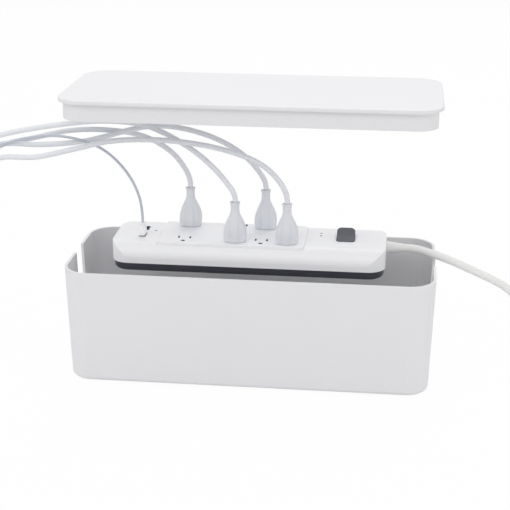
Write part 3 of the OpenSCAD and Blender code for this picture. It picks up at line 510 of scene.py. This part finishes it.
def srgb(r, g, b):
    shares = [c / 255 for c in (r, g, b)]
    return tuple(c / 12.92 if c <= 0.04045 else ((c + 0.055) / 1.055) ** 2.4
                 for c in shares) + (1,)


def moulded(name, tone, gloss=0.42, grain=2600.0, depth=0.000008, drift=0.015, metallic=0.0,
            specular=0.5, coat=0.0):
    material = bpy.data.materials.new(name)
    material.use_nodes = True
    tree = material.node_tree
    shader = tree.nodes["Principled BSDF"]
    finish = tree.nodes.new("ShaderNodeGroup")
    finish.node_tree = GRAIN
    finish.inputs["Tone"].default_value = tone
    finish.inputs["Gloss"].default_value = gloss
    finish.inputs["Grain"].default_value = grain
    finish.inputs["Depth"].default_value = depth
    finish.inputs["Drift"].default_value = drift
    for socket in ("Base Color", "Roughness", "Normal"):
        tree.links.new(finish.outputs[socket], shader.inputs[socket])
    shader.inputs["Metallic"].default_value = metallic
    shader.inputs["Specular IOR Level"].default_value = specular
    shader.inputs["Coat Weight"].default_value = coat
    shader.inputs["Coat Roughness"].default_value = 0.15
    return material


# the part of the panel that is shaded, in metres: axis, the side where the shading starts, and
# the side where it is full
SLOT_SIDES = (("X", -0.1035, -0.1030), ("X", 0.0565, 0.0560), ("Y", -0.0345, -0.0340),
              ("Y", 0.0405, 0.0402), ("Z", 0.1541, 0.1535))
SLOT_SHADE = 0.88


def shade_slots(material):
    """Darkens the walls inside the panel's slots, where little light comes: the part of the
    panel that lies below its face and within its outer edge, by place on the piece."""
    tree = material.node_tree
    make, link = tree.nodes.new, tree.links.new
    shader = tree.nodes["Principled BSDF"]
    tone = next(wire for wire in tree.links
                if wire.to_socket == shader.inputs["Base Color"]).from_socket
    place, parts = make("ShaderNodeTexCoord"), make("ShaderNodeSeparateXYZ")
    link(place.outputs["Object"], parts.inputs[0])
    within = None
    for axis, start, full in SLOT_SIDES:
        step = make("ShaderNodeMapRange")
        step.inputs["From Min"].default_value = start
        step.inputs["From Max"].default_value = full
        link(parts.outputs[axis], step.inputs["Value"])
        if within is None:
            within = step.outputs[0]
            continue
        both = math_node(tree, "MULTIPLY")
        link(within, both.inputs[0])
        link(step.outputs[0], both.inputs[1])
        within = both.outputs[0]
    share = math_node(tree, "MULTIPLY_ADD", -SLOT_SHADE, 1.0)
    link(within, share.inputs[0])
    dim = scale_node(tree)
    link(tone, dim.inputs[0])
    link(share.outputs[0], dim.inputs["Scale"])
    link(dim.outputs[0], shader.inputs["Base Color"])


def dress(piece, material):
    piece.data.materials.clear()
    piece.data.materials.append(material)


WHITE_BOX = moulded("white_box_plastic", srgb(234, 234, 236), gloss=0.5)
WHITE_LID = moulded("white_lid_plastic", srgb(232, 232, 234), gloss=0.46)
WHITE_CASE = moulded("white_case_plastic", srgb(248, 248, 250), gloss=0.34, depth=0.000004)
WHITE_PANEL = moulded("white_panel_plastic", srgb(248, 248, 250), gloss=0.34, depth=0.000004)
BLACK_BASE = moulded("black_base_plastic", srgb(58, 59, 67), gloss=0.38, depth=0.000006)
ROCKER = moulded("rocker_plastic", srgb(102, 103, 109), gloss=0.55, depth=0.000006, specular=0.2)
PLUG = moulded("plug_moulding", srgb(226, 228, 233), gloss=0.44, depth=0.00001)
PLUG_FLEX = moulded("plug_cord_jacket", srgb(232, 234, 239), gloss=0.42, grain=1800.0,
                    depth=0.00001)
USB_FLEX = moulded("usb_cord_jacket", srgb(196, 201, 210), gloss=0.42, grain=1800.0,
                   depth=0.00001)
WHITE_FLEX = moulded("mains_cord_jacket", srgb(238, 237, 236), gloss=0.44, grain=1800.0,
                     depth=0.00001)
CONNECTOR = moulded("connector_plastic", srgb(92, 93, 98), gloss=0.4)
FEET = moulded("feet_rubber", srgb(120, 120, 123), gloss=0.7, grain=1500.0, depth=0.00002)
BRASS = moulded("brass", srgb(208, 178, 112), gloss=0.2, metallic=1.0, grain=4000.0,
                depth=0.000002)
STEEL = moulded("plated_steel", srgb(196, 197, 200), gloss=0.2, metallic=1.0, grain=4000.0,
                depth=0.000002)
LEAD_SKIN = moulded("lead_insulation", srgb(96, 74, 66), gloss=0.42)
BOARD = moulded("board_lacquer", srgb(38, 102, 62), gloss=0.28, coat=0.3)
DISC = moulded("varistor_dip", srgb(48, 84, 150), gloss=0.3)
LENS = moulded("light_lens", srgb(120, 120, 124), gloss=0.15)
TAPE = moulded("transformer_tape", srgb(206, 178, 74), gloss=0.45)
SLEEVE = moulded("capacitor_sleeve", srgb(44, 56, 92), gloss=0.3)
TONGUE = moulded("socket_tongue", srgb(24, 24, 26), gloss=0.4)
INSERT = moulded("usb_insert", srgb(236, 236, 236), gloss=0.4)
STRAP = moulded("tie_strap", srgb(66, 67, 70), gloss=0.75, grain=900.0, depth=0.00012,
                drift=0.05)

FINISHES = {
    "box_shell": WHITE_BOX, "box_feet": FEET, "lid": WHITE_LID,
    "strip_cover": WHITE_CASE, "strip_base": BLACK_BASE, "outlet_panel": WHITE_PANEL,
    "case_screws": STEEL, "mains_relief": WHITE_FLEX,
    "switch_housing": WHITE_CASE, "switch_rocker": ROCKER, "switch_contact": BRASS,
    "switch_terminals": BRASS,
    "live_bar": BRASS, "neutral_bar": BRASS, "earth_bar": BRASS, "internal_leads": LEAD_SKIN,
    "surge_board": BOARD, "surge_varistors": DISC, "indicator_lights": LENS,
    "usb_board": BOARD, "usb_transformer": TAPE, "usb_capacitors": SLEEVE,
    "usb_sockets": STEEL, "usb_tongues": TONGUE,
    "usb_plug_grip": WHITE_CASE, "usb_plug_shell": STEEL, "usb_plug_insert": INSERT,
    "usb_cord": USB_FLEX, "usb_coil": USB_FLEX, "usb_cord_end": WHITE_FLEX,
    "mains_cord": WHITE_FLEX, "mains_coil": WHITE_FLEX,
    "wall_plug_body": WHITE_FLEX, "wall_plug_pins": BRASS,
}
for number in PLUGS:
    FINISHES[f"plug_{number}_body"] = PLUG
    FINISHES[f"plug_{number}_pins"] = BRASS
    FINISHES[f"cord_{number}"] = PLUG_FLEX
    FINISHES[f"cord_{number}_coil"] = PLUG_FLEX
    FINISHES[f"cord_{number}_connector"] = CONNECTOR
for name, node in nodes.items():
    dress(node, FINISHES[name])
shade_slots(WHITE_PANEL)
for plug in plugs.values():
    dress(plug, PLUG)
for name, (flex, tie) in cords.items():
    dress(flex, {"mains": WHITE_FLEX, "usb": USB_FLEX}.get(name, PLUG_FLEX))
    dress(tie, STRAP)

# how wide the rounding is on the edges of the CAD pieces, a hair that catches the light; the
# pieces left out have crisp edges
ROUNDED = {"box_shell": 0.7, "lid": 0.35, "strip_cover": 0.25, "outlet_panel": 0.2,
           "switch_housing": 0.2, "switch_rocker": 0.35, "strip_base": 0.2,
           "usb_plug_grip": 0.6, "wall_plug_body": 1.2, "mains_relief": 0.1,
           "usb_cord_end": 0.5, "box_feet": 0.15}
for number in PLUGS:
    ROUNDED[f"cord_{number}_connector"] = 0.6
for name, node in nodes.items():
    mesh = node.data
    mesh.polygons.foreach_set("use_smooth", [True] * len(mesh.polygons))
    if name in ROUNDED:
        bevel = node.modifiers.new("edge_round", "BEVEL")
        bevel.width = ROUNDED[name] * MM
        bevel.segments = 2
        bevel.limit_method = "ANGLE"
        bevel.angle_limit = math.radians(40)
        bevel.harden_normals = True
    else:
        mesh.set_sharp_from_angle(angle=math.radians(35))


# ---------- floor, background and lights ----------

FLOOR_LEVEL = -0.0004
# how much of the floor is plain white to the camera and in reflections
FLOOR_GLOW = 0.96
WORLD_LIGHT = 0.58
# name, place, the point it faces, size and power
LAMPS = (
    ("overhead_softbox", (-0.1, 0.3, 2.6), (0, 0, 0.1), (2.2, 1.8), 12),
    ("front_softbox", (-0.4, -2.0, 2.1), (0, 0, 0.15), (2.6, 1.4), 15),
    ("left_softbox", (-2.3, -0.9, 1.1), (0, 0, 0.12), (1.4, 1.6), 8),
    ("right_softbox", (2.4, -0.9, 1.1), (0, 0, 0.12), (1.4, 1.6), 10),
    ("back_softbox", (0.1, 2.2, 2.1), (0, 0, 0.15), (2.6, 1.4), 18),
)


def make_floor():
    corners = [(x, y, FLOOR_LEVEL) for x, y in ((-9, -7), (9, -7), (9, 12), (-9, 12))]
    floor = new_piece("studio_floor", corners, [(0, 1, 2, 3)], smooth=False)
    material = bpy.data.materials.new("floor_white")
    material.use_nodes = True
    tree = material.node_tree
    make, link = tree.nodes.new, tree.links.new
    shader = tree.nodes["Principled BSDF"]
    shader.inputs["Base Color"].default_value = (0.86, 0.86, 0.86, 1)
    shader.inputs["Roughness"].default_value = 0.9
    shader.inputs["Specular IOR Level"].default_value = 0.1
    glow = make("ShaderNodeEmission")
    glow.inputs["Color"].default_value = (1, 1, 1, 1)
    glow.inputs["Strength"].default_value = 1.0
    path = make("ShaderNodeLightPath")
    seen = math_node(tree, "MAXIMUM")
    link(path.outputs["Is Camera Ray"], seen.inputs[0])
    link(path.outputs["Is Glossy Ray"], seen.inputs[1])
    part = math_node(tree, "MULTIPLY", FLOOR_GLOW)
    link(seen.outputs[0], part.inputs[0])
    mix = make("ShaderNodeMixShader")
    link(part.outputs[0], mix.inputs["Fac"])
    link(shader.outputs[0], mix.inputs[1])
    link(glow.outputs[0], mix.inputs[2])
    link(mix.outputs[0], tree.nodes["Material Output"].inputs["Surface"])
    floor.data.materials.append(material)


def make_world():
    """Soft light from all round, with plain white where the camera looks past the floor."""
    world = bpy.data.worlds.new("studio")
    bpy.context.scene.world = world
    world.use_nodes = True
    tree = world.node_tree
    make, link = tree.nodes.new, tree.links.new
    soft = tree.nodes["Background"]
    soft.inputs["Color"].default_value = (1, 1, 1, 1)
    soft.inputs["Strength"].default_value = WORLD_LIGHT
    white = make("ShaderNodeBackground")
    white.inputs["Color"].default_value = (1, 1, 1, 1)
    white.inputs["Strength"].default_value = 1.0
    path = make("ShaderNodeLightPath")
    mix = make("ShaderNodeMixShader")
    link(path.outputs["Is Camera Ray"], mix.inputs["Fac"])
    link(soft.outputs[0], mix.inputs[1])
    link(white.outputs[0], mix.inputs[2])
    link(mix.outputs[0], tree.nodes["World Output"].inputs["Surface"])


def area_lamp(name, place, aim, size, power):
    data = bpy.data.lights.new(name, "AREA")
    data.shape = "RECTANGLE"
    data.size, data.size_y = size
    data.energy = power
    lamp = bpy.data.objects.new(name, data)
    bpy.context.scene.collection.objects.link(lamp)
    lamp.location = place
    lamp.rotation_mode = "QUATERNION"
    lamp.rotation_quaternion = (Vector(aim) - Vector(place)).to_track_quat("-Z", "Y")


make_floor()
make_world()
for lamp in LAMPS:
    area_lamp(*lamp)

view = bpy.context.scene.view_settings
view.view_transform = "Standard"
